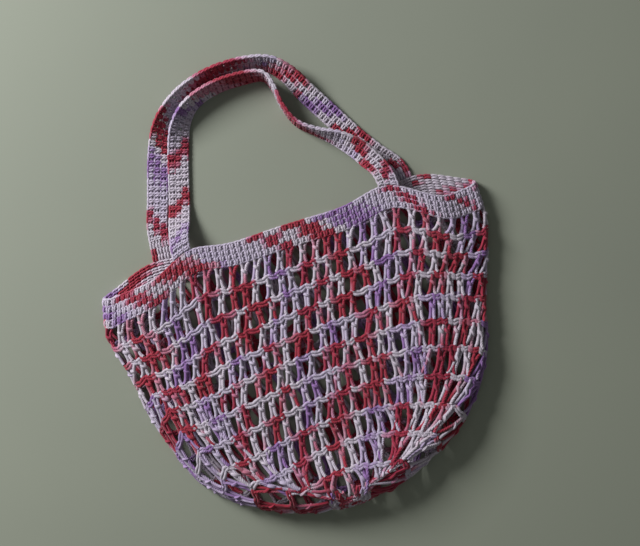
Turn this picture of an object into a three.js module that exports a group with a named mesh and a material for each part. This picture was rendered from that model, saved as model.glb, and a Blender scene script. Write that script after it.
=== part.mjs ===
// A crocheted mesh market bag of variegated cotton yarn, empty, lying on its back on a flat surface.
// Millimetres, +Z up from that surface, X along the mouth, +Y from the bag's bottom to its handles.
import * as THREE from "three";

// Driving dimensions of the sack as it lies.
const HALF_WIDTH = 190; // from the middle to a side fold, at the mouth
const BAG_DEPTH = 222; // from the line between the side folds' tops to the bottom edge
const OUTLINE_POWER = 2.6; // 2 would be an ellipse, and more gives fuller bottom corners
const SIDE_TAPER = 0.12; // share of the width lost from the mouth to the bottom
const THICKNESS = 3; // of the yarn fabric, in the net and the close-worked pieces alike
const BACK_Z = THICKNESS / 2; // middle of the under layer, which lies flat on the surface
const FRONT_HEIGHT = 16; // middle of the upper layer above the surface
const RIDGE_WIDTH = 26; // how far inside the ridge the upper layer starts to rise or fall to it
const TURN_UNDER = 10; // cloth taken by the under layer's turn from the outline onto the surface
const POLE_ANGLE = 95; // degrees round the outline to the spot where the crochet was begun

// Where the whole bag's middle lies in the sack's own drawing, which has its zero near the mouth.
const MIDDLE = { x: 1, y: 8.5 };
const FOLD_CENTRE = { x: 1, y: 15 };

// The crease round the sack, by degrees from the right side fold over the bottom to the left one:
// how far the under layer bulges past the crease, how high the crease stands, and how far the
// outline is drawn in there from its even curve.
const CREASE = [
  { angle: 0, reach: 5, rise: 11, draw: 3 },
  { angle: 25, reach: 6, rise: 12, draw: 16 },
  { angle: 45, reach: 10, rise: 17, draw: 13 },
  { angle: 65, reach: 18, rise: 24, draw: 11 },
  { angle: 90, reach: 20, rise: 26, draw: 0 },
  { angle: 115, reach: 27, rise: 26, draw: 0 },
  { angle: 135, reach: 30, rise: 24, draw: -4 },
  { angle: 150, reach: 24, rise: 20, draw: 3 },
  { angle: 165, reach: 11, rise: 14, draw: 8 },
  { angle: 180, reach: 6, rise: 11, draw: 3 },
];

// Soft humps and hollows of the upper layer.
const SWELLS = [
  { x: -138, y: 45, size: 42, rise: 6 },
  { x: 152, y: 30, size: 36, rise: 4 },
  { x: 25, y: -50, size: 80, rise: -2.5 },
  { x: -75, y: -95, size: 48, rise: 3 },
  { x: 100, y: -70, size: 40, rise: 3 },
];

// The two layers: the height of the net's top edge in the middle, how flat that edge runs, and where
// the handles pull it up or it droops beside them.
const LAYERS = {
  front: {
    top: 33,
    flatness: 2,
    pulls: [
      { x: -136, size: 30, rise: -9 },
      { x: -88, size: 28, rise: 10 },
      { x: 106, size: 32, rise: 13 },
      { x: 160, size: 28, rise: -9 },
    ],
  },
  back: {
    top: 32,
    flatness: 3,
    pulls: [
      { x: -117, size: 34, rise: 15 },
      { x: 127, size: 36, rise: 14 },
    ],
  },
};

// The net: rounds of posts between rings, each with the posts in it and the share of the way from
// the bottom's middle to the band where its upper ring runs.
const BASE_RING = 0.085;
const NET_ROUNDS = [
  { posts: 10, ring: 0.19 },
  { posts: 20, ring: 0.3 },
  { posts: 40, ring: 0.415 },
  { posts: 40, ring: 0.53 },
  { posts: 40, ring: 0.645 },
  { posts: 40, ring: 0.76 },
  { posts: 40, ring: 0.873 },
  { posts: 40, ring: 0.985 },
];
const POST_LEAN = 0.045; // share of a turn by which the posts drift sideways from the pole to the band
const POST_WIDTH = 5.6;
const RING_WIDTH = 5;
const BASE_POINTS = 36;
const BEND_LIMIT = Math.cos(THREE.MathUtils.degToRad(16)); // an edge that turns more gets a point

// The close-worked band round the mouth, and the two handles.
const BAND_WIDTH = 25;
const BAND_FLARE = { left: 0.28, right: 0.12 }; // shares by which it is taller at the side folds
const BAND_DRAW = 9; // how far its upper edge is drawn in at the left fold
const BAND_ROWS = 4;
const BAND_STEPS = 92;
const FOLD_STEPS = 0.6; // share by which the band's steps are shorter at the side folds
const STRAP_WIDTH = 19;
const STRAP_ROWS = 3;
const STRAP_STEPS = 60;
const STRAP_JOIN = 0.09; // share of a handle's length over which it takes the band's line
const ROW_GROOVE = 0.7; // depth of the line between two rows of stitches
const SEAM = 0.3; // clearance between the net and the band worked onto it
const FOLD_SEAM = 1.5; // the same at the side folds, where both turn sharply
const STRAP_SEAM = 0.5; // clearance between the band's upper edge and a handle worked onto it

// The handles' routes between their ends on the band. lean turns a strap up onto its inner edge, and
// lift raises it off the surface.
const HANDLES = {
  handle_front: {
    layer: "front",
    from: -94,
    to: 109,
    route: [
      { x: -89, y: 92, lean: 0, lift: 7 },
      { x: -82, y: 117, lean: 0, lift: 0 },
      { x: -69, y: 160, lean: 8, lift: 0 },
      { x: -58, y: 184, lean: 38, lift: 0 },
      { x: -41, y: 199, lean: 60, lift: 0 },
      { x: -16, y: 206, lean: 66, lift: 0 },
      { x: 11, y: 206, lean: 68, lift: 0 },
      { x: 29, y: 202, lean: 76, lift: 0 },
      { x: 35, y: 189, lean: 85, lift: 0 },
      { x: 38, y: 169, lean: 88, lift: 0 },
      { x: 46, y: 150, lean: 86, lift: 0 },
      { x: 61, y: 135, lean: 78, lift: 0 },
      { x: 77, y: 119, lean: 50, lift: 4 },
      { x: 95, y: 97, lean: 18, lift: 9 },
    ],
  },
  handle_back: {
    layer: "back",
    from: -114,
    to: 124,
    route: [
      { x: -110, y: 98, lean: 0, lift: 0 },
      { x: -102, y: 122, lean: 0, lift: 0 },
      { x: -87, y: 165, lean: 8, lift: 0 },
      { x: -72, y: 191, lean: 36, lift: 0 },
      { x: -49, y: 209, lean: 57, lift: 0 },
      { x: -21, y: 218, lean: 62, lift: 0 },
      { x: 8, y: 219, lean: 62, lift: 0 },
      { x: 35, y: 213, lean: 56, lift: 0 },
      { x: 51, y: 198, lean: 40, lift: 0 },
      { x: 63, y: 176, lean: 18, lift: 0 },
      { x: 78, y: 150, lean: 4, lift: 0 },
      { x: 94, y: 122, lean: 0, lift: 0 },
      { x: 111, y: 96, lean: 0, lift: 0 },
    ],
  },
};

const YARN = {
  net: new THREE.MeshStandardMaterial({ color: 0xb98aa6, roughness: 0.9, metalness: 0 }),
  band: new THREE.MeshStandardMaterial({ color: 0xc9a3bb, roughness: 0.9, metalness: 0 }),
  handle: new THREE.MeshStandardMaterial({ color: 0xc79db4, roughness: 0.9, metalness: 0 }),
};

const smooth = (share) => THREE.MathUtils.smoothstep(share, 0, 1);
const wrapped = (turn) => THREE.MathUtils.euclideanModulo(turn, 1);
const acrossAt = (turn) => (wrapped(turn) < 0.5 ? 1 - 4 * wrapped(turn) : 4 * wrapped(turn) - 3);

// A value of the crease table between its rows.
function crease(angle, column) {
  const next = CREASE.findIndex((row) => row.angle >= angle);
  if (next <= 0) return CREASE[0][column];
  const [a, b] = [CREASE[next - 1], CREASE[next]];
  return THREE.MathUtils.lerp(a[column], b[column], smooth((angle - a.angle) / (b.angle - a.angle)));
}

// Distance from the fold centre to the sack's outline in a direction given in degrees.
function outlineRadius(angle) {
  const turn = THREE.MathUtils.degToRad(angle);
  const across = Math.abs(Math.cos(turn) / HALF_WIDTH) ** OUTLINE_POWER;
  const along = Math.abs(Math.sin(turn) / BAG_DEPTH) ** OUTLINE_POWER;
  return (across + along) ** (-1 / OUTLINE_POWER) - crease(angle, "draw");
}

// A point of the crease, laid out flat.
function creasePoint(angle) {
  const turn = THREE.MathUtils.degToRad(angle);
  const radius = outlineRadius(angle) - crease(angle, "reach");
  return { x: FOLD_CENTRE.x + radius * Math.cos(turn), y: FOLD_CENTRE.y - radius * Math.sin(turn) };
}

// A stitch's place on one layer, laid out flat inside the crease: round runs from 0 at the pole to 1
// at the band, across from -1 at the left fold to 1 at the right one, and above is mm up the band.
function flatPoint(layer, round, across, above) {
  const { top, flatness, pulls } = LAYERS[layer];
  const right = creasePoint(POLE_ANGLE * (1 - round));
  const left = creasePoint(180 - (180 - POLE_ANGLE) * (1 - round));
  const pole = creasePoint(POLE_ANGLE);
  const middleY = (left.y + right.y) / 2;
  const bow = THREE.MathUtils.lerp(pole.y, top, round) - middleY;
  const x = THREE.MathUtils.lerp(left.x, right.x, (across + 1) / 2);
  let y = THREE.MathUtils.lerp(left.y, right.y, (across + 1) / 2);
  y += bow * (1 - Math.abs(across) ** flatness);
  const loose = round ** 4 * (1 - across ** 8); // the pulls fade down the net and at the side folds
  for (const { x: at, size, rise } of pulls) y += rise * loose * Math.exp(-(((x - at) / size) ** 2));
  const flare = across ** 4 * (across < 0 ? BAND_FLARE.left : BAND_FLARE.right);
  return { x, y: y + above * (1 + flare) };
}

// Height of the upper layer away from the crease.
function frontHeight(x, y) {
  return SWELLS.reduce(
    (z, s) => z + s.rise * Math.exp(-((x - s.x) ** 2 + (y - s.y) ** 2) / s.size ** 2),
    FRONT_HEIGHT,
  );
}

// Where a flat point of a layer lies in the bag. The upper layer rises or falls to the crease. The
// under layer runs out over the crease, down to the surface, round the outline and back underneath.
function liePoint(layer, { x, y }) {
  const dx = x - FOLD_CENTRE.x;
  const dy = Math.max(0, FOLD_CENTRE.y - y);
  const turn = Math.atan2(dy, dx);
  const angle = THREE.MathUtils.radToDeg(turn);
  const [reach, rise] = [crease(angle, "reach"), crease(angle, "rise")];
  const ridge = outlineRadius(angle) - reach;
  const share = Math.hypot(dx, dy) / ridge;
  let radius = share * ridge;
  let z;
  if (layer === "front") {
    const height = frontHeight(x, y);
    z = THREE.MathUtils.lerp(height, rise, Math.exp(-((((1 - share) * ridge) / RIDGE_WIDTH) ** 2)));
  } else {
    const slope = Math.hypot(reach, rise - BACK_Z);
    const gone = (1 - share) * (ridge + reach + slope + TURN_UNDER / 2);
    let out = reach * Math.sin((Math.PI / 2) * Math.min(gone / slope, 1));
    if (gone > slope + TURN_UNDER) out = reach - (gone - slope - TURN_UNDER / 2);
    else if (gone > slope) out = reach - (gone - slope) ** 2 / (2 * TURN_UNDER);
    radius = ridge + out;
    const fall = Math.min(gone / (slope + TURN_UNDER), 1);
    z = BACK_Z + ((rise - BACK_Z) * (1 + Math.cos(Math.PI * fall))) / 2;
  }
  const narrow = 1 - (SIDE_TAPER * radius * Math.sin(turn)) / BAG_DEPTH;
  const lieX = FOLD_CENTRE.x + radius * Math.cos(turn) * narrow;
  const lieY = y > FOLD_CENTRE.y ? y : FOLD_CENTRE.y - radius * Math.sin(turn);
  return new THREE.Vector3(lieX - MIDDLE.x, lieY - MIDDLE.y, z);
}

// A point of the sack: turn runs once round it from the right fold over the front, and round goes up
// to 1 at the band and on by the share of the band's width.
function sackPoint(turn, round) {
  const layer = wrapped(turn) < 0.5 ? "front" : "back";
  const across = acrossAt(turn);
  const onBand = Math.max(round - 1, 0);
  const point = liePoint(layer, flatPoint(layer, Math.min(round, 1), across, onBand * BAND_WIDTH));
  point.x += onBand * BAND_DRAW * ((1 - across) / 2) ** 6;
  return point;
}

// A vertex of the sack's middle surface, with its outward direction, and the mm that one unit of
// turn or of round covers there, the second square to the ring.
function sackVertex(turn, round) {
  const step = 1e-3;
  const low = Math.max(round - 2 * step, step);
  const along = sackPoint(turn, low + 2 * step).sub(sackPoint(turn, low));
  const around = sackPoint(turn + step, round).sub(sackPoint(turn - step, round));
  const normal = along.cross(around);
  const perTurn = around.length() / (2 * step);
  return {
    turn,
    point: sackPoint(turn, round),
    perTurn,
    perRound: normal.length() / (4 * step * step * perTurn),
    normal: normal.normalize(),
  };
}

// A closed solid from a sheet's middle surface: its faces, the same faces behind, and a wall on every
// free edge. up and down are the thickness on each side of a vertex.
function thicken(vertices, triangles) {
  const count = vertices.length;
  const positions = [];
  for (const side of ["up", "down"])
    for (const v of vertices)
      positions.push(...v.point.clone().addScaledVector(v.normal, side === "up" ? v.up : -v.down).toArray());
  const edges = new Set();
  const index = [];
  for (const [a, b, c] of triangles) {
    index.push(a, b, c, a + count, c + count, b + count);
    for (const edge of [[a, b], [b, c], [c, a]]) edges.add(edge.join());
  }
  for (const edge of edges) {
    const [a, b] = edge.split(",").map(Number);
    if (!edges.has([b, a].join())) index.push(b, a, a + count, b, a + count, b + count);
  }
  const geometry = new THREE.BufferGeometry();
  geometry.setAttribute("position", new THREE.Float32BufferAttribute(positions, 3));
  geometry.setIndex(index);
  return geometry;
}

// Triangles of the strip between two rings of vertices, given as lists of indices in turn order.
function zipRings(vertices, lower, upper) {
  const turnOf = (ring, i) => wrapped(vertices[ring[i % ring.length]].turn) + Math.floor(i / ring.length);
  const triangles = [];
  let [i, j] = [0, 0];
  while (i < lower.length || j < upper.length) {
    const [a, b] = [lower[i % lower.length], upper[j % upper.length]];
    if (j === upper.length || (i < lower.length && turnOf(lower, i + 1) < turnOf(upper, j + 1))) {
      triangles.push([a, b, lower[(i + 1) % lower.length]]);
      i += 1;
    } else {
      triangles.push([a, b, upper[(j + 1) % upper.length]]);
      j += 1;
    }
  }
  return triangles;
}

// The turns at which the band and the net's upper edge have points, closest at the side folds.
const BAND_TURNS = Array.from({ length: BAND_STEPS }, (_, i) => {
  const even = (i + 0.5) / BAND_STEPS;
  return even - (FOLD_STEPS * Math.sin(4 * Math.PI * even)) / (4 * Math.PI);
});

// The openwork sack: a close-worked base, then rounds of posts between rings, each round's posts
// standing over the gaps of the round below.
function netSack() {
  const vertices = [];
  const triangles = [];
  const faces = { up: THICKNESS / 2, down: THICKNESS / 2 };
  const add = (turn, round) => vertices.push({ ...sackVertex(turn, round), ...faces }) - 1;
  const leaning = (turn, round) => turn - POST_LEAN * round;
  const byTurn = (ring) => [...ring].sort((a, b) => wrapped(vertices[a].turn) - wrapped(vertices[b].turn));
  const bends = (a, b) => vertices[a].normal.dot(vertices[b].normal) < BEND_LIMIT;
  const ringHalf = (turn, round) => RING_WIDTH / 2 / sackVertex(turn, round).perRound;
  const plainRing = (count, round, side) =>
    Array.from({ length: count }, (_, i) => {
      const turn = (i + 0.5) / count;
      return add(turn, round + side * ringHalf(turn, round));
    });

  // One edge of a ring, with two points at each post and one in a gap that bends.
  const postEdge = (postTurns, round, side) => {
    const turns = postTurns.map((turn) => leaning(turn, round));
    const feet = turns.map((turn) => {
      const reach = POST_WIDTH / 2 / sackVertex(turn, round).perTurn;
      return [turn - reach, turn + reach].map((t) => add(t, round + side * ringHalf(t, round)));
    });
    const ring = feet.flat();
    feet.forEach(([, right], i) => {
      const left = feet[(i + 1) % feet.length][0];
      const middle = turns[i] + 0.5 / turns.length;
      if (bends(right, left)) ring.push(add(middle, round + side * ringHalf(middle, round)));
    });
    return { feet, ring: byTurn(ring) };
  };

  const pole = add(0, 0);
  const inner = plainRing(BASE_POINTS / 2, BASE_RING / 2, 0);
  const base = plainRing(BASE_POINTS, BASE_RING, -1);
  inner.forEach((a, i) => triangles.push([pole, a, inner[(i + 1) % inner.length]]));
  triangles.push(...zipRings(vertices, inner, base));

  let below = { ring: base, round: BASE_RING };
  NET_ROUNDS.forEach(({ posts, ring }, row) => {
    const turns = Array.from({ length: posts }, (_, i) => (i + (row % 2 ? 0.75 : 0.25)) / posts);
    const lower = postEdge(turns, below.round, 1);
    const upper = postEdge(turns, ring, -1);
    triangles.push(...zipRings(vertices, below.ring, lower.ring));
    lower.feet.forEach(([a, b], i) => {
      const [d, c] = upper.feet[i];
      if (bends(a, d)) {
        const middle = [a, b].map((_, k) => {
          const [low, high] = [lower.feet[i][k], upper.feet[i][k]];
          const turn = (vertices[low].turn + vertices[high].turn) / 2;
          return add(turn, (below.round + ring) / 2);
        });
        triangles.push([a, middle[0], middle[1]], [a, middle[1], b]);
        triangles.push([middle[0], d, c], [middle[0], c, middle[1]]);
      } else triangles.push([a, d, c], [a, c, b]);
    });
    below = { ring: upper.ring, round: ring };
  });

  // The last round's posts stand on the band's foot, a clearance below it.
  const rim = BAND_TURNS.map((turn) => {
    const seam = THREE.MathUtils.lerp(SEAM, FOLD_SEAM, acrossAt(turn) ** 12);
    return add(turn, 1 - seam / sackVertex(turn, 1).perRound);
  });
  triangles.push(...zipRings(vertices, below.ring, rim));
  return thicken(vertices, triangles);
}

// How far a close-worked piece's face stands out, at a share of its width: full on the rows and less
// in the grooves between them and at its two edges.
function rowHeight(share, rows) {
  const onRow = Math.abs(((share * rows * 2) % 2) - 1) < 0.5;
  return THICKNESS / 2 - (onRow ? 0 : ROW_GROOVE);
}

// The close-worked band: rows of stitches round the mouth.
function mouthBand() {
  const lines = 2 * BAND_ROWS;
  const vertices = [];
  const triangles = [];
  for (let line = 0; line <= lines; line += 1) {
    const share = line / lines;
    const faces = { up: rowHeight(share, BAND_ROWS), down: THICKNESS / 2 };
    for (const turn of BAND_TURNS) vertices.push({ ...sackVertex(turn, 1 + share), ...faces });
  }
  for (let line = 0; line < lines; line += 1)
    for (let i = 0; i < BAND_STEPS; i += 1) {
      const [a, b] = [i, (i + 1) % BAND_STEPS].map((k) => line * BAND_STEPS + k);
      triangles.push([a, a + BAND_STEPS, b + BAND_STEPS], [a, b + BAND_STEPS, b]);
    }
  return thicken(vertices, triangles);
}

// A point some mm above the band's upper edge, in line with the straight edge between its points.
function abovePoint(turn, above) {
  const round = 2 + above / BAND_WIDTH;
  const next = BAND_TURNS.findIndex((t) => t > turn);
  const [a, b] = [BAND_TURNS[next - 1], BAND_TURNS[next]];
  return sackPoint(a, round).lerp(sackPoint(b, round), (turn - a) / (b - a));
}

// The turn round the sack at which a layer's band has a given x along its upper edge.
function turnAtX(layer, x) {
  let [low, high] = layer === "front" ? [0.49, 0.01] : [0.51, 0.99];
  for (let i = 0; i < 40; i += 1) {
    const middle = (low + high) / 2;
    if (sackPoint(middle, 2).x < x) low = middle;
    else high = middle;
  }
  return (low + high) / 2;
}

// A handle: rows of stitches along a strap whose two ends are worked onto the band's upper edge.
function handle({ layer, from, to, route }) {
  const ends = [from, to].map((x) => turnAtX(layer, x - MIDDLE.x));
  const edgePoint = (end, side, above) => {
    const { perTurn } = sackVertex(ends[end], 2);
    const way = layer === "front" ? -1 : 1;
    return abovePoint(ends[end] + (way * side * STRAP_WIDTH) / perTurn, STRAP_SEAM + above);
  };
  const endStop = (end) => {
    const { x, y, z } = edgePoint(end, 0, 0);
    return { x: x + MIDDLE.x, y: y + MIDDLE.y, lean: 0, lift: z - THICKNESS / 2 };
  };
  const stops = [endStop(0), ...route, endStop(1)];
  const curve = new THREE.CatmullRomCurve3(
    stops.map(({ x, y }) => new THREE.Vector3(x - MIDDLE.x, y - MIDDLE.y, 0)),
    false,
    "centripetal",
  );
  const length = curve.getLength();
  const between = (along, column) => {
    const place = along * (stops.length - 1);
    const row = Math.min(Math.floor(place), stops.length - 2);
    return THREE.MathUtils.lerp(stops[row][column], stops[row + 1][column], smooth(place - row));
  };

  // side runs from -0.5 at the inner edge of the loop to 0.5 at its outer edge.
  const strapPoint = (along, side) => {
    const ahead = curve.getTangent(along);
    const out = new THREE.Vector3(-ahead.y, ahead.x, 0);
    const turn = THREE.MathUtils.degToRad(between(along, "lean"));
    const [flat, upright] = [Math.cos(turn), Math.sin(turn)];
    const middle = between(along, "lift") + (STRAP_WIDTH * upright + THICKNESS * flat) / 2;
    const free = curve.getPoint(along).addScaledVector(out, side * STRAP_WIDTH * flat);
    free.z = middle + side * STRAP_WIDTH * upright;
    const end = along < 0.5 ? 0 : 1;
    const fromEnd = Math.min(along, 1 - along);
    const onBand = edgePoint(end, end ? side : -side, fromEnd * length);
    return free.lerp(onBand, smooth(1 - fromEnd / STRAP_JOIN));
  };

  const lines = 2 * STRAP_ROWS;
  const step = 1e-3;
  const vertices = [];
  const triangles = [];
  for (let i = 0; i <= STRAP_STEPS; i += 1) {
    const along = i / STRAP_STEPS;
    const [before, after] = [Math.max(along - step, 0), Math.min(along + step, 1)];
    for (let line = 0; line <= lines; line += 1) {
      const share = line / lines;
      const side = share - 0.5;
      const ahead = strapPoint(after, side).sub(strapPoint(before, side));
      const wide = strapPoint(along, side + step).sub(strapPoint(along, side - step));
      const thick = rowHeight(share, STRAP_ROWS);
      const normal = ahead.cross(wide).normalize();
      vertices.push({ point: strapPoint(along, side), normal, up: thick, down: thick });
    }
  }
  for (let i = 0; i < STRAP_STEPS; i += 1)
    for (let line = 0; line < lines; line += 1) {
      const a = i * (lines + 1) + line;
      const d = a + lines + 1;
      triangles.push([a, d, d + 1], [a, d + 1, a + 1]);
    }
  return thicken(vertices, triangles);
}

function named(name, geometry, material) {
  const mesh = new THREE.Mesh(geometry, material);
  mesh.name = name;
  return mesh;
}

const bag = new THREE.Group();
bag.add(named("net_body", netSack(), YARN.net));
bag.add(named("mouth_band", mouthBand(), YARN.band));
for (const [name, spec] of Object.entries(HANDLES)) bag.add(named(name, handle(spec), YARN.handle));

export default bag;
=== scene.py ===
"""A crocheted mesh market bag of variegated cotton yarn, lying empty on its back. Metres, +Z up."""

import math

import bpy
import numpy as np
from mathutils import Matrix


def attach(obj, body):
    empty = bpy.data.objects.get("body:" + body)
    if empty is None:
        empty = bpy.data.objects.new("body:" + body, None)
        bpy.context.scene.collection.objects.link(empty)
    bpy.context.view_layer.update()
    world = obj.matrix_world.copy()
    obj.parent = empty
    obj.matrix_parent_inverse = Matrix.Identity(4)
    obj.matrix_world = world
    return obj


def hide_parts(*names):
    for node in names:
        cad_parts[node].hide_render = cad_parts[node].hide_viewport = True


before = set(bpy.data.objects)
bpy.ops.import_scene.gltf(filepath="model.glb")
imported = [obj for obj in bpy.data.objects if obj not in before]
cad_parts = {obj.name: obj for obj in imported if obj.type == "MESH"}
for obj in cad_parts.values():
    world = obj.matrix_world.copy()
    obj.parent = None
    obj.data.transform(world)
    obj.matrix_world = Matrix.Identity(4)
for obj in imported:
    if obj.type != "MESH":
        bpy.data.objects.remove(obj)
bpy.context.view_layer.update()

# The sack's shape. The bag was worked in rounds from the middle of its bottom and then laid on its
# back: the upper layer rises to a crease round the bottom, and the under layer rolls out past it.
# Sizes are in millimetres here. A stitch's place is its turn round the sack and its round.
MM = 0.001
MIDDLE_X, MIDDLE_Y = 1.0, 8.5  # the middle of the part's box, which is the frame's origin
FOLD_X, FOLD_Y = 1.0, 15.0  # the centre of the outline's curve, between the two side folds
HALF_WIDTH = 190.0
BAG_DEPTH = 222.0
OUTLINE_POWER = 2.6  # squareness of the outline
SIDE_TAPER = 0.12  # how much narrower the sack is at its bottom
BACK_Z = 1.5  # height of the under layer's middle
FRONT_HEIGHT = 16.0  # height of the upper layer without its humps
RIDGE_WIDTH = 26.0  # how far the crease's rise reaches into the upper layer
TURN_UNDER = 10.0  # length of the bend between the rolled-out edge and the under layer
POLE_ANGLE = 95.0  # where the worked middle of the bottom lies on the crease, in degrees
SIDE_ROWS = 0.75  # the rounds lie closer at the side folds than an even share of the outline gives
ROUND_TILT = 0.07  # slope of the rounds, which lie higher on the right
BOTTOM_ROLL = 20.0  # how far the worked middle of the bottom lies past the crease, on the under side
SACK_HEIGHT = 220.0  # from the bottom to round 1
BAND_FOOT, BAND_TOP = 1 + 4.0 / SACK_HEIGHT, 1 + 25.0 / SACK_HEIGHT  # the band's edges, as rounds
BAND_FLARE = {"left": 0.28, "right": 0.12}  # how much wider the band is at each side fold
BAND_DRAW = 9.0  # how far the band's edge is drawn in at the left fold

# Degrees from the right side fold over the bottom to the left one, the under layer's reach past the
# crease there, the crease's height, and how far the outline is drawn in from its even curve.
CREASE = np.array(
    [
        (0, 5, 11, 3),
        (25, 6, 12, 16),
        (45, 10, 17, 13),
        (65, 18, 24, 11),
        (90, 20, 26, 0),
        (115, 27, 26, 0),
        (135, 30, 24, -4),
        (150, 24, 20, 3),
        (165, 11, 14, 8),
        (180, 6, 11, 3),
    ],
    dtype=float,
)

# Humps and hollows of the upper layer: place, size and rise.
SWELLS = [(-138, 45, 42, 6), (152, 30, 36, 4), (25, -50, 80, -2.5), (-75, -95, 48, 3), (100, -70, 40, 3)]

# Each layer's upper edge: its height in the middle, its flatness, and where it is pulled up or droops.
UPPER = {
    "top": 37.0,
    "flatness": 2,
    "pulls": [(-136, 30, -3), (-88, 28, 10), (106, 32, 13), (160, 28, -9)],
}
UNDER = {
    "top": 36.5,
    "flatness": 3,
    "pulls": [(-117, 34, 10), (127, 36, 14)],
}


def smooth(share):
    """An even ease from 0 to 1."""
    share = np.clip(share, 0, 1)
    return share * share * (3 - 2 * share)


def crease(angle):
    """Reach and height of the crease at an angle in degrees, and the outline's draw."""
    row = np.clip(np.searchsorted(CREASE[:, 0], angle), 1, len(CREASE) - 1)
    low, high = CREASE[row - 1], CREASE[row]
    share = smooth((angle - low[..., 0]) / (high[..., 0] - low[..., 0]))
    return [low[..., k] + (high[..., k] - low[..., k]) * share for k in (1, 2, 3)]


def outline_radius(angle):
    """Distance from the fold centre to the sack's outline."""
    turn = np.radians(angle)
    across = np.abs(np.cos(turn) / HALF_WIDTH) ** OUTLINE_POWER
    along = np.abs(np.sin(turn) / BAG_DEPTH) ** OUTLINE_POWER
    return (across + along) ** (-1 / OUTLINE_POWER) - crease(angle)[2]


def crease_point(angle):
    """A point of the crease, laid out flat."""
    turn = np.radians(angle)
    radius = outline_radius(angle) - crease(angle)[0]
    return FOLD_X + radius * np.cos(turn), FOLD_Y - radius * np.sin(turn)


def ring_ends(rounds):
    """The right and left points of the crease between which a ring of stitches lies."""
    below = 1 - rounds
    spread = SIDE_ROWS * below + (1 - SIDE_ROWS) * below**4
    return crease_point(POLE_ANGLE * spread), crease_point(180 - (180 - POLE_ANGLE) * spread)


def flat_point(layer, rounds, across, above):
    """A stitch's place on one layer, laid out flat inside the crease."""
    (right_x, right_y), (left_x, left_y) = ring_ends(rounds)
    pole_y = crease_point(np.array(POLE_ANGLE))[1]
    share = (across + 1) / 2
    x = left_x + (right_x - left_x) * share
    bow = pole_y + (layer["top"] - pole_y) * rounds - (left_y + right_y) / 2
    y = left_y + (right_y - left_y) * share + bow * (1 - np.abs(across) ** layer["flatness"])
    y = y + ROUND_TILT * (1 - rounds**6) * (x - (left_x + right_x) / 2) * (1 - across**4)
    loose = rounds**4 * (1 - across**8)
    for at, size, rise in layer["pulls"]:
        y = y + rise * loose * np.exp(-(((x - at) / size) ** 2))
    flare = across**4 * np.where(across < 0, BAND_FLARE["left"], BAND_FLARE["right"])
    return x, y + above * (1 + flare)


def lie_point(is_upper, x, y):
    """Where a flat point lies: on the upper layer, or over the crease and underneath."""
    dx, dy = x - FOLD_X, np.maximum(0, FOLD_Y - y)
    turn = np.arctan2(dy, dx)
    reach, rise, _ = crease(np.degrees(turn))
    ridge = outline_radius(np.degrees(turn)) - reach
    share = np.hypot(dx, dy) / ridge
    over = is_upper & (share > 1)
    is_upper = is_upper & ~over
    share = np.where(over, 2 - share, share)

    # The upper layer, with its humps and its rise to the crease.
    height = FRONT_HEIGHT
    for at_x, at_y, size, swell in SWELLS:
        height = height + swell * np.exp(-((x - at_x) ** 2 + (y - at_y) ** 2) / size**2)
    upper_z = height + (rise - height) * np.exp(-(((1 - share) * ridge / RIDGE_WIDTH) ** 2))

    # Past the crease: down to the rolled-out edge, round its bend, and flat underneath.
    slope = np.hypot(reach, rise - BACK_Z)
    gone = (1 - share) * (ridge + reach + slope + TURN_UNDER / 2)
    turned = reach - (gone - slope) ** 2 / (2 * TURN_UNDER)
    out = np.where(gone > slope, turned, reach * np.sin(np.pi / 2 * np.clip(gone / slope, 0, 1)))
    out = np.where(gone > slope + TURN_UNDER, reach - (gone - slope - TURN_UNDER / 2), out)
    fall = np.clip(gone / (slope + TURN_UNDER), 0, 1)
    under_z = BACK_Z + (rise - BACK_Z) * (1 + np.cos(np.pi * fall)) / 2

    # The sack's taper, and the place in the part's frame.
    radius = np.where(is_upper, share * ridge, ridge + out)
    narrow = 1 - SIDE_TAPER * radius * np.sin(turn) / BAG_DEPTH
    lie_x = FOLD_X + radius * np.cos(turn) * narrow
    lie_y = np.where(y > FOLD_Y, y, FOLD_Y - radius * np.sin(turn))
    return np.stack([lie_x - MIDDLE_X, lie_y - MIDDLE_Y, np.where(is_upper, upper_z, under_z)], axis=-1)


def layer_place(turn):
    """Whether a turn is on the upper layer, and how far across: -1 at the left fold and 1 at the right."""
    turn = np.mod(turn, 1)
    is_upper = turn < 0.5
    return is_upper, np.where(is_upper, 1 - 4 * turn, 4 * turn - 3)


def sack_point(turn, rounds):
    """A point of the sack. Turns go from the right fold over the upper layer, and rounds up to BAND_TOP."""
    is_upper, across = layer_place(turn)
    above = np.maximum(rounds - 1, 0)
    body = np.clip(rounds, 0, 1)
    upper = flat_point(UPPER, body, across, above * SACK_HEIGHT)
    under = flat_point(UNDER, body, across, above * SACK_HEIGHT)
    roll = BOTTOM_ROLL * (1 - body) ** 3 * (1 - across**4)
    x = np.where(is_upper, upper[0], under[0])
    point = lie_point(is_upper, x, np.where(is_upper, upper[1] - roll, under[1] + roll))
    point[..., 0] += above / (BAND_TOP - 1) * BAND_DRAW * ((1 - across) / 2) ** 6
    return point


def sack_frame(turn, rounds):
    """Outward direction of the sack, and the millimetres that one turn and one round cover there."""
    step = 2e-3
    low = np.maximum(rounds - step, step)
    along = sack_point(turn, low + 2 * step) - sack_point(turn, low)
    around = sack_point(turn + step, rounds) - sack_point(turn - step, rounds)
    normal = np.cross(along, around)
    normal /= np.maximum(np.linalg.norm(normal, axis=-1, keepdims=True), 1e-9)
    per_turn, per_round = (np.linalg.norm(way, axis=-1) / (2 * step) for way in (around, along))
    return normal, per_turn, per_round


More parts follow.
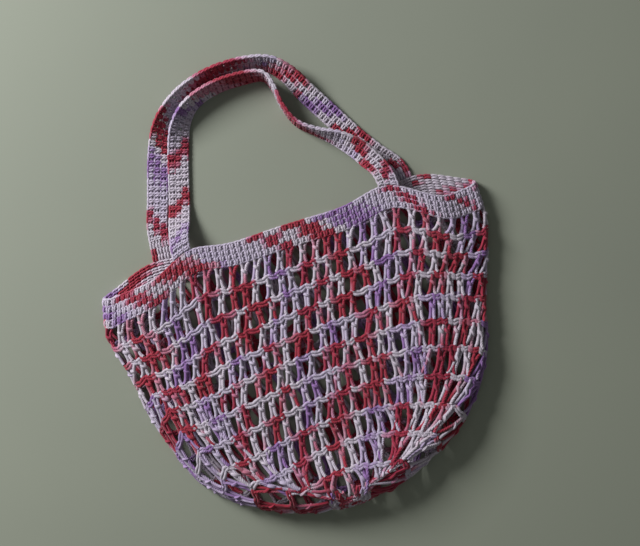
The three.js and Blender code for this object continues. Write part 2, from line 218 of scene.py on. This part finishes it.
# The yarn. A soft cotton yarn of several plies, dyed along its length in white, red and purple, so the
# colours come round again every few stitches. Each strand is a tube along a path of points.
YARN_SIDES = 6
COLOUR_REPEAT = 585.0  # yarn from one purple stretch to the next
DYE_COLOURS = 3  # coloured stretches in a repeat: two red and one purple
FIRST_COLOUR = 0.26  # the dye's phase at the middle of the first
PLIES = 4
PLY_TURN = 9.0  # yarn in one turn of the plies
draws = np.random.default_rng(7)


def curved(points, steps):
    """Smooth paths through control points: arrays of (path, point, value), in steps from point to point."""
    before = 2 * points[:, :1] - points[:, 1:2]
    after = 2 * points[:, -1:] - points[:, -2:-1]
    padded = np.concatenate([before, points, after], axis=1)
    pieces = []
    for k in range(points.shape[1] - 1):
        a, b, c, d = (padded[:, k + i] for i in range(4))
        for t in np.arange(steps) / steps:
            bend = (2 * a - 5 * b + 4 * c - d) * t**2 + (3 * b - a - 3 * c + d) * t**3
            pieces.append(0.5 * (2 * b + (c - a) * t + bend))
    pieces.append(points[:, -1])
    return np.stack(pieces, axis=1)


def strand_path(points, used, steps):
    """A strand through its control points, and the yarn's length along it."""
    return curved(points, steps), curved(used[..., None], steps)[..., 0]


def add_object(name, data):
    """A new object in the scene."""
    made = bpy.data.objects.new(name, data)
    bpy.context.scene.collection.objects.link(made)
    return made


def add_node(tree, kind, links=None, **settings):
    """One node with its settings, its socket values and its links."""
    node = tree.nodes.new(kind)
    for name, value in settings.items():
        setattr(node, name, value)
    for socket, source in (links or {}).items():
        target = node.inputs[socket]
        if isinstance(source, bpy.types.NodeSocket):
            tree.links.new(source, target)
        else:
            target.default_value = source
    return node


def linear(hex_colour):
    """A linear colour from an sRGB hex value."""
    parts = [int(hex_colour[i : i + 2], 16) / 255 for i in (1, 3, 5)]
    return [p / 12.92 if p <= 0.04045 else ((p + 0.055) / 1.055) ** 2.4 for p in parts] + [1.0]


def yarn_tree():
    """Turns a piece's paths into capped tubes, which keep each point's place along and round the yarn."""
    tree = bpy.data.node_groups.new("yarn along its stitches", "GeometryNodeTree")
    tree.interface.new_socket("Paths", in_out="INPUT", socket_type="NodeSocketGeometry")
    tree.interface.new_socket("Yarn radius", in_out="INPUT", socket_type="NodeSocketFloat")
    tree.interface.new_socket("Sides", in_out="INPUT", socket_type="NodeSocketInt")
    tree.interface.new_socket("Yarn", in_out="INPUT", socket_type="NodeSocketMaterial")
    tree.interface.new_socket("Fabric", in_out="OUTPUT", socket_type="NodeSocketGeometry")
    given = add_node(tree, "NodeGroupInput").outputs
    paths = add_node(tree, "GeometryNodeMeshToCurve", {"Mesh": given["Paths"]}).outputs[0]
    circle = add_node(
        tree,
        "GeometryNodeCurvePrimitiveCircle",
        {"Resolution": given["Sides"], "Radius": given["Yarn radius"]},
    )
    place = add_node(tree, "GeometryNodeInputPosition").outputs[0]
    ring = add_node(
        tree, "GeometryNodeCaptureAttribute", {"Geometry": circle.outputs[0]}, domain="POINT"
    )
    ring.capture_items.new("VECTOR", "Side")
    tree.links.new(place, ring.inputs["Side"])
    tubes = add_node(
        tree,
        "GeometryNodeCurveToMesh",
        {"Curve": paths, "Profile Curve": ring.outputs["Geometry"], "Fill Caps": True},
    ).outputs[0]
    sided = add_node(
        tree,
        "GeometryNodeStoreNamedAttribute",
        {"Geometry": tubes, "Name": "side", "Value": ring.outputs["Side"]},
        data_type="FLOAT_VECTOR",
        domain="POINT",
    ).outputs[0]
    rounded = add_node(tree, "GeometryNodeSetShadeSmooth", {"Geometry": sided}).outputs[0]
    real = add_node(tree, "GeometryNodeRealizeInstances", {"Geometry": rounded}).outputs[0]
    fabric = add_node(
        tree, "GeometryNodeSetMaterial", {"Geometry": real, "Material": given["Yarn"]}
    ).outputs[0]
    add_node(tree, "NodeGroupOutput", {"Fabric": fabric})
    return tree


def cotton_yarn():
    """Cotton yarn, plied and dyed in stretches: matt, with a faint sheen and a fine twist."""
    material = bpy.data.materials.new("variegated cotton yarn")
    material.use_nodes = True
    tree = material.node_tree
    shader = tree.nodes["Principled BSDF"]
    shader.inputs["Roughness"].default_value = 0.82
    shader.inputs["Sheen Weight"].default_value = 0.25
    shader.inputs["Sheen Roughness"].default_value = 0.5
    along = add_node(tree, "ShaderNodeAttribute", attribute_name="along").outputs["Fac"]
    side = add_node(tree, "ShaderNodeAttribute", attribute_name="side").outputs["Vector"]

    # The dye's stretches, a little uneven along the yarn.
    drift = add_node(
        tree, "ShaderNodeTexNoise", {"W": along, "Scale": 0.011, "Detail": 2.0}, noise_dimensions="1D"
    ).outputs[0]
    wander = add_node(
        tree, "ShaderNodeMath", {0: drift, 1: 0.16, 2: -0.08}, operation="MULTIPLY_ADD"
    ).outputs[0]
    turns = add_node(
        tree, "ShaderNodeMath", {0: along, 1: 1 / COLOUR_REPEAT, 2: wander}, operation="MULTIPLY_ADD"
    ).outputs[0]
    phase = add_node(tree, "ShaderNodeMath", {0: turns}, operation="FRACT").outputs[0]
    dye = add_node(tree, "ShaderNodeValToRGB", {"Fac": phase})
    stops = [
        (0.00, "#CABFCB"),
        (0.15, "#C9BDC9"),
        (0.175, "#C07A90"),
        (0.20, "#A01A34"),
        (0.30, "#9A1832"),
        (0.325, "#C9869C"),
        (0.35, "#C8BCC8"),
        (0.50, "#C8BECA"),
        (0.525, "#B86A84"),
        (0.55, "#A01C38"),
        (0.64, "#981A3C"),
        (0.665, "#C58AA8"),
        (0.69, "#C6BACA"),
        (0.84, "#BDB1C7"),
        (0.875, "#A78BB8"),
        (0.893, "#8A609E"),
        (0.92, "#946EA8"),
        (0.94, "#BCA9C8"),
    ]
    ramp = dye.color_ramp
    while len(ramp.elements) < len(stops):
        ramp.elements.new(0.5)
    for element, (place, colour) in zip(ramp.elements, stops):
        element.position = place
        element.color = linear(colour)
    speck = add_node(
        tree, "ShaderNodeTexNoise", {"W": along, "Scale": 0.35, "Detail": 3.0}, noise_dimensions="1D"
    ).outputs[0]
    shade = add_node(
        tree,
        "ShaderNodeMapRange",
        {"Value": speck, "From Min": 0.3, "From Max": 0.7, "To Min": 0.84, "To Max": 1.06},
    ).outputs[0]

    # The plies, drawn as soft grooves that wind round the yarn. Painted shade darkens the grooves' bottoms in
    # the colour, and painted light lifts their crests a little.
    split = add_node(tree, "ShaderNodeSeparateXYZ", {0: side})
    angle = add_node(
        tree, "ShaderNodeMath", {0: split.outputs[1], 1: split.outputs[0]}, operation="ARCTAN2"
    ).outputs[0]
    plies = add_node(tree, "ShaderNodeMath", {0: angle, 1: PLIES}, operation="MULTIPLY").outputs[0]
    twist = add_node(
        tree, "ShaderNodeMath", {0: along, 1: PLIES * math.tau / PLY_TURN, 2: plies}, operation="MULTIPLY_ADD"
    ).outputs[0]
    groove = add_node(tree, "ShaderNodeMath", {0: twist}, operation="SINE").outputs[0]
    # Painted shade and light of the ply grooves: darker at their bottoms, a little lighter on their crests.
    groove_shade = add_node(
        tree,
        "ShaderNodeMapRange",
        {"Value": groove, "From Min": -1.0, "From Max": 1.0, "To Min": 0.86, "To Max": 1.04},
    ).outputs[0]
    # The colour's random specks, times the painted shade and light of the ply grooves.
    both = add_node(tree, "ShaderNodeMath", {0: shade, 1: groove_shade}, operation="MULTIPLY").outputs[0]
    colour = add_node(
        tree,
        "ShaderNodeVectorMath",
        {0: dye.outputs["Color"], "Scale": both},
        operation="SCALE",
    ).outputs[0]
    tree.links.new(colour, shader.inputs["Base Color"])
    bump = add_node(
        tree, "ShaderNodeBump", {"Height": groove, "Strength": 0.5, "Distance": 0.0003}
    ).outputs[0]
    tree.links.new(bump, shader.inputs["Normal"])
    return material


YARN_TREE = yarn_tree()
YARN = cotton_yarn()


def worked(name, paths, radius):
    """One piece of yarn fabric from its paths: pairs of centrelines (path, point, xyz) and yarn lengths."""
    spots, lengths, edges = [], [], []
    count = 0
    for centres, along in paths:
        number, points = centres.shape[:2]
        spots.append(centres.reshape(-1, 3))
        lengths.append(along.reshape(-1))
        first = count + np.arange(number * points).reshape(number, points)[:, :-1].reshape(-1)
        edges.append(np.stack([first, first + 1], axis=1))
        count += number * points
    spots = np.concatenate(spots)
    spots[:, 2] = np.maximum(spots[:, 2], radius)
    mesh = bpy.data.meshes.new(name + " paths")
    mesh.from_pydata(spots * MM, np.concatenate(edges), [])
    mesh.attributes.new("along", "FLOAT", "POINT").data.foreach_set("value", np.concatenate(lengths))
    holder = add_object(name + " paths", mesh)
    modifier = holder.modifiers.new("yarn", "NODES")
    modifier.node_group = YARN_TREE
    sockets = {s.name: s.identifier for s in YARN_TREE.interface.items_tree if s.in_out == "INPUT"}
    modifier[sockets["Yarn radius"]] = radius * MM
    modifier[sockets["Sides"]] = YARN_SIDES
    modifier[sockets["Yarn"]] = YARN
    evaluated = holder.evaluated_get(bpy.context.evaluated_depsgraph_get())
    fabric = bpy.data.meshes.new_from_object(evaluated)
    holder.modifiers.remove(modifier)
    bpy.data.objects.remove(holder)
    return add_object(name, fabric)


# The net body. A small close-worked base, then rounds of tall stitches with a chain of two loops from
# each to the next, every stitch worked on the head of one below it, so they stand in columns. The sack
# is one fabric, kept as two pieces: the half that lies on top and the half underneath.
NET_YARN = {"upper": 1.66, "under": 1.475}  # radius, drawn thinner in the stretched under half
BASE_ROUNDS = [(12, 0.008, 0.022), (24, 0.022, 0.04)]  # stitches, and the round's foot and head
NET_ROUNDS = 11
NET_STITCHES = 62  # in the last round; further down two of them can share a foot
FIRST_STITCH = 0.25  # stitches from the right fold to the first one
NET_TOP = BAND_FOOT + 0.005  # the last stitches end in the band's first row
POST_LEAN = 0.08  # share of a turn by which the stitches drift sideways from the bottom to the band
POST_STRAND = 1.6  # from the middle of a tall stitch to each of its two strands
POST_TWIST = 1.1  # radians by which the strands turn about each other
POST_SPIN = 0.35  # radians by which one stitch is turned more than another
POST_FLARE = 1.3  # how much further apart the strands stand at head and foot, which rounds the gaps
POST_POINTS = 8
UPRIGHT_SHARE = 0.6  # of a layer's half width, where the stitches stand straight above their feet
SHARED_FOOT = 7.0  # stitches that would stand closer than this share a foot
# Control points: of the wrap round a tall stitch, by side, share of the height and distance out, and of
# one strand of a chain, by share of the way to the next stitch, distance from the middle and distance out.
WRAP = np.array([(-2.1, 0.46, -0.6), (-1.2, 0.52, 1.2), (0.7, 0.60, 1.7), (2.1, 0.68, 0.2)])
CHAIN = np.array(
    [
        (-0.04, 0.5, -0.4),
        (0.12, 1.3, 0.3),
        (0.36, 1.7, 0.7),
        (0.5, 1.0, 0.1),
        (0.64, 1.4, 0.5),
        (0.86, 1.6, 0.5),
        (1.04, 0.8, -0.4),
    ]
)
NET_STEPS = 2  # points of a wrap or a chain for each control point
CHAIN_SAG = 2.4  # how far a chain hangs between two stitches
POST_ENDS = 1.2  # how far a stitch's strands stop inside the chains
UNEVEN = 1.4  # how far stitches stray along the round
CELL = 12.1  # from one stitch to the next
CELL_YARN = COLOUR_REPEAT / 8
STRAND_SHARE, WRAP_SHARE, CHAIN_SHARE = 0.3, 0.05, 0.35  # of a cell's yarn
CHAIN_AHEAD = 0.05  # how much later in the cell's yarn the chain's second strand comes
COLUMN_LEAN = 0.32  # slope of the columns in which the colours stack up
BASE_DYE = -1.0  # cells by which the base's colours are moved round
DYE_STRAY = 0.25  # cells by which a stitch's colour strays
ROUND_DYE = 1.3  # cells by which a round's colours move from those of the round below
# The upper half's value sets the dye's own share of colour. The under half's longer dark red and purple
# stretches are partly painted shade, which darkens the bag's inside seen through the gaps.
DYE_LENGTHS_AND_UNDER_SHADE = {"upper": 0.01, "under": 0.05}  # the under half has longer stretches of red and purple


def lay(turn, rounds, out):
    """Points at a distance out from the sack's middle surface."""
    normal = sack_frame(turn, rounds)[0]
    return sack_point(turn, rounds) + normal * out[..., None]


def ring_span(rounds):
    """Half the width of a ring of the sack between its two folds, and its middle."""
    (right, _), (left, _) = ring_ends(np.array(rounds))
    return (right - left) / 2, (right + left) / 2


def foot_turn(turn, foot, head):
    """The turn of a stitch's foot under its head: upright in a layer's middle, slanted at the folds."""
    is_upper, across = layer_place(turn)
    (foot_half, foot_middle), (head_half, head_middle) = ring_span(foot), ring_span(head)
    below = across * head_half / foot_half + (head_middle - foot_middle) / foot_half * (1 - across**2)
    furthest = max(1.0, head_half / foot_half)
    inside = np.interp(np.abs(below), [0, UPRIGHT_SHARE, furthest], [0, UPRIGHT_SHARE, 1])
    under = np.sign(below) * inside
    return np.where(is_upper, (1 - under) / 4, (under + 3) / 4)


def stand(heads, foot, head):
    """Which stitch below each stitch of a round stands on, and the turns of those below."""
    wanted = np.mod(foot_turn(heads, foot, head) + POST_LEAN * (head - foot), 1)
    order = np.argsort(wanted)
    per_turn = sack_frame(wanted[order], np.full(len(heads), foot))[1]
    apart = np.mod(np.roll(wanted[order], -1) - wanted[order], 1)

    # The stitches are taken in order from the widest gap on, and at most two of them share a foot.
    first = np.argmax(apart * per_turn) + 1
    order = np.roll(order, -first)
    spots = wanted[order] + (np.arange(len(heads)) >= len(heads) - first)
    shared = np.roll(apart * per_turn, -first)[:-1] < SHARED_FOOT
    support = [0]
    for close in shared:
        is_second = close and support.count(support[-1]) < 2
        support.append(support[-1] if is_second else support[-1] + 1)
    below = np.bincount(support, spots) / np.bincount(support)
    stands_on = np.empty(len(heads), int)
    stands_on[order] = support
    return stands_on, below


def strayed(heads, rounds):
    """The same turns, each a little off its even place."""
    per_turn = sack_frame(heads, np.full(len(heads), rounds))[1]
    return heads + draws.normal(0, UNEVEN, len(heads)) / per_turn


def dyed(along, longer):
    """Yarn lengths moved so that the coloured stretches come out longer and the white ones shorter."""
    turns = DYE_COLOURS * (along / COLOUR_REPEAT - FIRST_COLOUR)
    return along - longer * COLOUR_REPEAT * np.sin(math.tau * turns)


def net_round(low, high, foot, head, dye):
    """The paths of one round, each stitch's strands, wrap and chain, and which stitches are on top."""
    count = len(high)
    low = high + np.mod(low - high + 0.5, 1) - 0.5  # each foot's turn, counted from its head's
    per_turn, per_round = sack_frame(high, np.full(count, head))[1:]
    per_round_foot = sack_frame(low, np.full(count, foot))[2]
    is_upper = layer_place(high)[0]
    x, y, _ = sack_point(high, np.full(count, head)).T
    column = (x - COLUMN_LEAN * y) / CELL * np.where(is_upper, -1, 1)
    tension = (column + dye + draws.normal(0, DYE_STRAY, count)) * CELL_YARN
    paths = []

    # The two strands of each tall stitch, a little twisted about each other.
    t = np.linspace(0, 1, POST_POINTS)[None, :]
    starts = foot + POST_ENDS / per_round_foot[:, None]
    ends = head - POST_ENDS / per_round[:, None]
    height = starts + (ends - starts) * t
    centre = low[:, None] * (1 - t) + high[:, None] * t
    wide = sack_frame(centre, height)[1]
    spin = draws.normal(0, POST_SPIN, count)[:, None]
    flare = 1 + POST_FLARE * np.abs(2 * t - 1) ** 4
    for strand in (0, 1):
        phase = spin + POST_TWIST * (t - 0.5) + math.pi * strand
        turn = centre + POST_STRAND * flare * np.cos(phase) / wide
        used = tension[:, None] + CELL_YARN * STRAND_SHARE * (t if strand == 0 else 2 - t)
        paths.append((lay(turn, height, POST_STRAND * np.sin(phase)), used))

    # The wrap round its middle.
    side, up, out = (np.broadcast_to(WRAP[None, :, k], (count, len(WRAP))) for k in range(3))
    rounds = starts + (ends - starts) * up
    turn = low[:, None] * (1 - up) + high[:, None] * up + side / per_turn[:, None]
    used = tension[:, None] + CELL_YARN * (STRAND_SHARE + WRAP_SHARE * up)
    paths.append(strand_path(lay(turn, rounds, out), used, NET_STEPS))

    # The chain to the next stitch, hanging a little. The last one is inside the band.
    if head > 1:
        return paths, is_upper
    gap = np.mod(np.roll(high, -1) - high, 1)
    share, across, out = (np.broadcast_to(CHAIN[None, :, k], (count, len(CHAIN))) for k in range(3))
    sag = CHAIN_SAG * np.sin(math.pi * np.clip(share, 0, 1))
    for leg in (-1, 1):
        rounds = head + (leg * across - sag) / per_round[:, None]
        turn = high[:, None] + gap[:, None] * share
        begun = 2 * STRAND_SHARE + CHAIN_AHEAD * (leg > 0)
        used = tension[:, None] + CELL_YARN * (begun + CHAIN_SHARE * share)
        paths.append(strand_path(lay(turn, rounds, out), used, NET_STEPS))
    return paths, is_upper


# The rounds are laid out from the band down, and worked from the bottom up.
net_rings = np.linspace(BASE_ROUNDS[-1][2], NET_TOP, NET_ROUNDS + 1)
even_heads = (np.arange(NET_STITCHES) + FIRST_STITCH) / NET_STITCHES
net_heads = strayed(even_heads, NET_TOP)
rounds_worked = []
for foot, head in zip(net_rings[-2::-1], net_rings[:0:-1]):
    stands_on, even_heads = stand(even_heads, foot, head)
    below = strayed(even_heads, foot)
    rounds_worked.insert(0, (below[stands_on], net_heads, foot, head))
    net_heads = below
for count, foot, head in reversed(BASE_ROUNDS):
    even = np.arange(count) / count
    rounds_worked.insert(0, (even, even, foot, head))

layers = {"upper": [], "under": []}
dye = BASE_DYE
for row in rounds_worked:
    dye += draws.normal(0, ROUND_DYE)
    paths, is_upper = net_round(*row, dye)
    for centres, along in paths:
        along = np.broadcast_to(along, centres.shape[:2])
        for half, mine in (("upper", is_upper), ("under", ~is_upper)):
            layers[half].append((centres[mine], dyed(along[mine], DYE_LENGTHS_AND_UNDER_SHADE[half])))

net_upper = worked("net_upper", layers["upper"], NET_YARN["upper"])
net_under = worked("net_under", layers["under"], NET_YARN["under"])
for layer in (net_upper, net_under):
    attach(layer, "root")
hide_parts("net_body")
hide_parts("net_body")


# The mouth band. Four rounds of short close stitches on the net's upper edge: each is a V of two legs
# in front, a bar behind, and two loops along its top.
BAND_ROWS = 4
BAND_STITCHES = 124
CLOSE_DYE = -0.03  # shorter coloured stretches than in the net
BAND_SLANT = 1.4  # stitches by which each row's colours run ahead of the row above
CLOSE_YARN = 1.2  # radius of the yarn as worked in close stitches
SHORT_YARN = COLOUR_REPEAT * 6 / BAND_STITCHES  # yarn in one short stitch
SHORT_UNEVEN = 0.05  # share of a stitch by which short stitches stray along their row
SHORT_TENSION = 0.12  # share of a stitch's yarn by which one takes more than another
ROW_MARGIN = 0.1  # of a row, left free at a close-worked piece's two edges
# Control points of a short stitch's strands: share of its width, share of its row, and distance out.
SHORT = [
    np.array([(0.46, -0.10, 0.1), (0.36, 0.25, 0.9), (0.30, 0.62, 1.0), (0.24, 0.96, 0.2)]),
    np.array([(0.54, -0.10, 0.1), (0.64, 0.25, 0.9), (0.66, 0.62, 1.0), (0.70, 0.96, 0.2)]),
    np.array([(-0.02, 0.46, 0.2), (0.22, 0.60, -1.0), (0.74, 0.60, -1.1), (1.02, 0.48, 0.2)]),
    np.array([(-0.10, 0.98, 0.0), (0.30, 1.04, 0.5), (0.75, 1.02, 0.5), (1.10, 0.96, 0.0)]),
    np.array([(-0.06, 0.96, 0.1), (0.26, 1.06, -0.9), (0.75, 1.06, -1.0), (1.06, 0.94, 0.1)]),
]
SHORT_STEPS = [2, 2, 1, 2, 1]  # how finely each strand is rounded, less where it lies behind


def short_stitches(rows, count, place, closed, used):
    """Paths of rows of short stitches. Place gives the points, and used the yarn before each stitch."""
    paths = []
    for row in range(-1, rows):
        stitch = np.arange(count)[:, None]
        uneven = draws.normal(0, SHORT_UNEVEN, (count, 1))
        for part, strand in enumerate(SHORT):
            # Before the first row there are only the two loops that it is worked on.
            if row < 0 and part < len(SHORT) - 2:
                continue
            along = stitch + strand[None, :, 0] + uneven
            up = np.broadcast_to(row + strand[None, :, 1], along.shape)
            out = np.broadcast_to(strand[None, :, 2], along.shape)
            along = np.mod(along, count) if closed else np.clip(along, 0, count)
            share = np.linspace(0, 1, len(strand))[None, :]
            yarn = used[max(row, 0)][:, None] + SHORT_YARN * (part + share) / len(SHORT)
            paths.append(strand_path(place(along, up, out), yarn, SHORT_STEPS[part]))
    return paths


def row_share(row, rows):
    """How far across a close-worked piece a row lies."""
    return (row + ROW_MARGIN) / (rows + 2 * ROW_MARGIN)


def yarn_before(rows, count, stretches, slant):
    """Yarn length before each stitch, by row, from pairs of stitch and dye phase along the top row."""
    ahead = slant * (rows - 1 - np.arange(rows))
    stray = np.cumsum(draws.normal(0, SHORT_TENSION, (rows, count)), axis=1)
    stitch = np.arange(count)[None, :] + ahead[:, None] + stray
    phase = np.interp(stitch, *np.array(stretches).T)
    return dyed(phase * COLOUR_REPEAT, CLOSE_DYE)


# The dye's phase by stitch, from the right fold over the front: the stretches differ in length.
BAND_STRETCHES = [
    (0, 0.72), (1.5, 0.7), (2.3, 0.645), (3.5, 0.6), (4.7, 0.645), (5.7, 0.71), (8.5, 0.71), (9.6, 0.645),
    (12, 0.6), (14.5, 0.645), (15.5, 0.71), (17.5, 0.84), (18.5, 0.888), (25, 0.922), (26, 1.1), (27, 1.2),
    (31.5, 1.315), (34, 1.55), (37, 1.65), (38, 1.71), (46, 1.85), (47.5, 2.2), (54, 2.315), (56, 2.55),
    (61, 2.65), (63, 2.86), (66, 2.93), (68, 3.2), (76, 3.315), (124, 5.72), (130, 5.71),
]


def band_place(stitch, row, out):
    """A point of the band."""
    rounds = BAND_FOOT + (BAND_TOP - BAND_FOOT) * row_share(row, BAND_ROWS)
    return lay(stitch / BAND_STITCHES, rounds, out)


band_used = yarn_before(BAND_ROWS, BAND_STITCHES, BAND_STRETCHES, BAND_SLANT)
band_paths = short_stitches(BAND_ROWS, BAND_STITCHES, band_place, True, band_used)
mouth_band = worked("mouth_band_yarn", band_paths, CLOSE_YARN)
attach(mouth_band, "root")
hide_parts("mouth_band")

# The handles. Two straps of three rows of short stitches worked along their length, with both ends on
# the band. Each follows its own route: lean turns a strap up onto its inner edge, and lift raises it.
STRAP_WIDTH = 19.0
STRAP_ROWS = 3
STRAP_STITCH = 6.0
STRAP_THICKNESS = 3.0
STRAP_START = 0.5  # from the band's edge to a strap's first stitches
STRAP_JOIN = 0.09  # share of a strap's length over which each end turns onto the band
ROUTE_STEPS = 24  # points of a route for each of its stops
BISECTIONS = 40

# A strap's turns are those of the left and right fold on its side of the bag, and its ends are the places
# in x where it joins the band between them. Slant is as on the band. Stretches are pairs of share of the
# length and dye phase, and the route's stops are x, y, lean in degrees and lift.
FRONT_STRAP = {
    "piece": "handle_front_yarn",
    "node": "handle_front",
    "turns": (0.49, 0.01),
    "ends": (-94, 109),
    "slant": -0.9,
    "stretches": [
        (0, 0.85), (0.025, 0.907), (0.11, 1.257), (0.24, 1.6), (0.35, 1.907), (0.42, 2.19), (0.6, 2.31),
        (0.64, 2.55), (0.8, 2.645), (0.83, 2.75), (0.87, 3.2), (0.92, 3.3), (0.935, 3.36), (0.95, 3.5),
        (0.96, 3.55), (0.985, 3.645), (1.1, 3.8),
    ],
    "route": [
        (-89, 92, 0, 7),
        (-82, 117, 0, 0),
        (-69, 160, 8, 0),
        (-58, 184, 38, 0),
        (-41, 199, 60, 0),
        (-16, 206, 66, 0),
        (11, 206, 68, 0),
        (29, 202, 76, 0),
        (35, 189, 85, 0),
        (38, 169, 88, 0),
        (46, 150, 86, 0),
        (62, 136, 78, 0),
        (80, 122, 50, 4),
        (98, 100, 18, 9),
    ],
}
BACK_STRAP = {
    "piece": "handle_back_yarn",
    "node": "handle_back",
    "turns": (0.51, 0.99),
    "ends": (-114, 124),
    "slant": 1.6,
    "stretches": [
        (0, 0.2), (0.02, 0.3), (0.035, 0.37), (0.065, 0.5), (0.08, 0.55), (0.125, 0.645), (0.145, 0.73),
        (0.185, 0.875), (0.25, 0.925), (0.265, 1.12), (0.28, 1.2), (0.345, 1.305), (0.37, 1.36),
        (0.42, 1.5), (0.44, 1.55), (0.56, 1.64), (0.58, 1.72), (0.61, 2.15), (0.625, 2.2), (0.69, 2.31),
        (0.72, 2.4), (0.735, 2.87), (0.79, 2.93), (0.82, 3.1), (0.835, 3.2), (0.89, 3.31), (0.92, 3.4),
        (0.95, 3.55), (0.985, 3.645), (1.1, 3.8),
    ],
    "route": [
        (-110, 98, 0, 0),
        (-102, 122, 0, 0),
        (-87, 165, 8, 0),
        (-72, 191, 36, 0),
        (-49, 209, 57, 0),
        (-21, 218, 62, 0),
        (8, 219, 62, 0),
        (35, 213, 56, 0),
        (51, 198, 40, 0),
        (63, 176, 18, 0),
        (78, 150, 4, 0),
        (94, 122, 0, 0),
        (111, 96, 0, 0),
    ],
}


def turn_at(low, high, x):
    """The turn between two at which the band's upper edge has a given x."""
    for _ in range(BISECTIONS):
        middle = (low + high) / 2
        if sack_point(np.array(middle), np.array(BAND_TOP))[0] < x:
            low = middle
        else:
            high = middle
    return (low + high) / 2


def strap(spec):
    """One handle: its route, and the rows of stitches along it."""
    ends = [turn_at(*spec["turns"], x - MIDDLE_X) for x in spec["ends"]]
    way = -1 if spec["turns"][0] < 0.5 else 1
    stops = []
    for turn in ends:
        x, y, z = sack_point(np.array(turn), np.array(BAND_TOP))
        stops.append((x + MIDDLE_X, y + MIDDLE_Y, 0, z - STRAP_THICKNESS / 2))
    stops = np.array([stops[0], *spec["route"], stops[1]], dtype=float)
    dense = curved(stops[None], ROUTE_STEPS)[0]
    lengths = np.concatenate([[0], np.cumsum(np.hypot(*np.diff(dense[:, :2], axis=0).T))])
    total = lengths[-1]
    count = round(total / STRAP_STITCH)

    def place(stitch, row, out):
        run = np.clip(stitch / count, 0, 1) * total
        side = row_share(row, STRAP_ROWS) - 0.5
        x, y, lean, lift = (np.interp(run, lengths, dense[:, k]) for k in range(4))
        ahead_x = np.interp(run + 1, lengths, dense[:, 0]) - np.interp(run - 1, lengths, dense[:, 0])
        ahead_y = np.interp(run + 1, lengths, dense[:, 1]) - np.interp(run - 1, lengths, dense[:, 1])
        size = np.hypot(ahead_x, ahead_y)
        wide_x, wide_y = -ahead_y / size, ahead_x / size
        flat, upright = np.cos(np.radians(lean)), np.sin(np.radians(lean))
        middle = np.maximum(lift, 0) + (STRAP_WIDTH * upright + STRAP_THICKNESS * flat) / 2
        reach = side * STRAP_WIDTH * flat - out * upright
        free = np.stack(
            [
                x - MIDDLE_X + wide_x * reach,
                y - MIDDLE_Y + wide_y * reach,
                middle + side * STRAP_WIDTH * upright + out * flat,
            ],
            axis=-1,
        )
        from_end = np.minimum(run, total - run)
        at_start = run < total / 2
        end_turn = np.where(at_start, ends[0], ends[1])
        per_turn = sack_frame(end_turn, np.full(end_turn.shape, BAND_TOP))[1]
        turned = end_turn + way * np.where(at_start, -side, side) * STRAP_WIDTH / per_turn
        on_band = lay(turned, BAND_TOP + (from_end + STRAP_START) / SACK_HEIGHT, out)
        joined = smooth(1 - from_end / total / STRAP_JOIN)[..., None]
        return free + (on_band - free) * joined

    stretches = [(share * count, phase) for share, phase in spec["stretches"]]
    used = yarn_before(STRAP_ROWS, count, stretches, spec["slant"])
    piece = worked(spec["piece"], short_stitches(STRAP_ROWS, count, place, False, used), CLOSE_YARN)
    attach(piece, "root")
    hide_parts(spec["node"])
    return piece


handles = [strap(FRONT_STRAP), strap(BACK_STRAP)]

# The floor: a plain pale grey-green surface, not part of the bag.
FLOOR_SIZE = 4.0
floor_mesh = bpy.data.meshes.new("floor")
edge = FLOOR_SIZE / 2
corners = [(-edge, -edge, 0), (edge, -edge, 0), (edge, edge, 0), (-edge, edge, 0)]
floor_mesh.from_pydata(corners, [], [(0, 1, 2, 3)])
floor = add_object("floor", floor_mesh)
paint = bpy.data.materials.new("matt grey-green board")
paint.use_nodes = True
paint_shader = paint.node_tree.nodes["Principled BSDF"]
paint_shader.inputs["Roughness"].default_value = 0.85
paint_shader.inputs["Specular IOR Level"].default_value = 0.3
grain = add_node(paint.node_tree, "ShaderNodeTexNoise", {"Scale": 6.0, "Detail": 4.0}).outputs[0]
board = add_node(paint.node_tree, "ShaderNodeValToRGB", {"Fac": grain})
board.color_ramp.elements[0].position = 0.35
board.color_ramp.elements[0].color = linear("#8F9485")
board.color_ramp.elements[1].position = 0.65
board.color_ramp.elements[1].color = linear("#969B8A")
paint.node_tree.links.new(board.outputs[0], paint_shader.inputs["Base Color"])
floor_mesh.materials.append(paint)

# Light and camera: a soft window light from the upper left, and the camera straight above.
ROLL = math.radians(18)  # how far the bag is turned in the picture
CAMERA_HEIGHT = 0.9
FRAME_WIDTH = 0.608  # of the floor that the picture takes in
VIEW_CENTRE = (0.0221, 0.001)
SENSOR_WIDTH = 36.0
camera_data = bpy.data.cameras.new("camera")
camera_data.sensor_width = SENSOR_WIDTH
camera_data.lens = SENSOR_WIDTH * CAMERA_HEIGHT / FRAME_WIDTH
camera = add_object("camera", camera_data)
camera.location = (*VIEW_CENTRE, CAMERA_HEIGHT)
camera.rotation_euler = (0, 0, -ROLL)
bpy.context.scene.camera = camera

LIGHT_X, LIGHT_Y, LIGHT_HEIGHT = -0.9, 1.07, 0.72
window_data = bpy.data.lights.new("window", "AREA")
window_data.size = 0.55
window_data.energy = 35.5
window_data.color = linear("#FBFBFF")[:3]
window = add_object("window", window_data)
window.location = (LIGHT_X, LIGHT_Y, LIGHT_HEIGHT)
tilt = math.atan2(math.hypot(LIGHT_X, LIGHT_Y), LIGHT_HEIGHT)
window.rotation_euler = (tilt, 0, math.atan2(LIGHT_Y, LIGHT_X) + math.pi / 2)
world = bpy.data.worlds.new("room")
world.use_nodes = True
room_light = world.node_tree.nodes["Background"].inputs
room_light["Color"].default_value = linear("#D8DCDC")
room_light["Strength"].default_value = 0.2
bpy.context.scene.world = world
bpy.context.scene.view_settings.view_transform = "Standard"
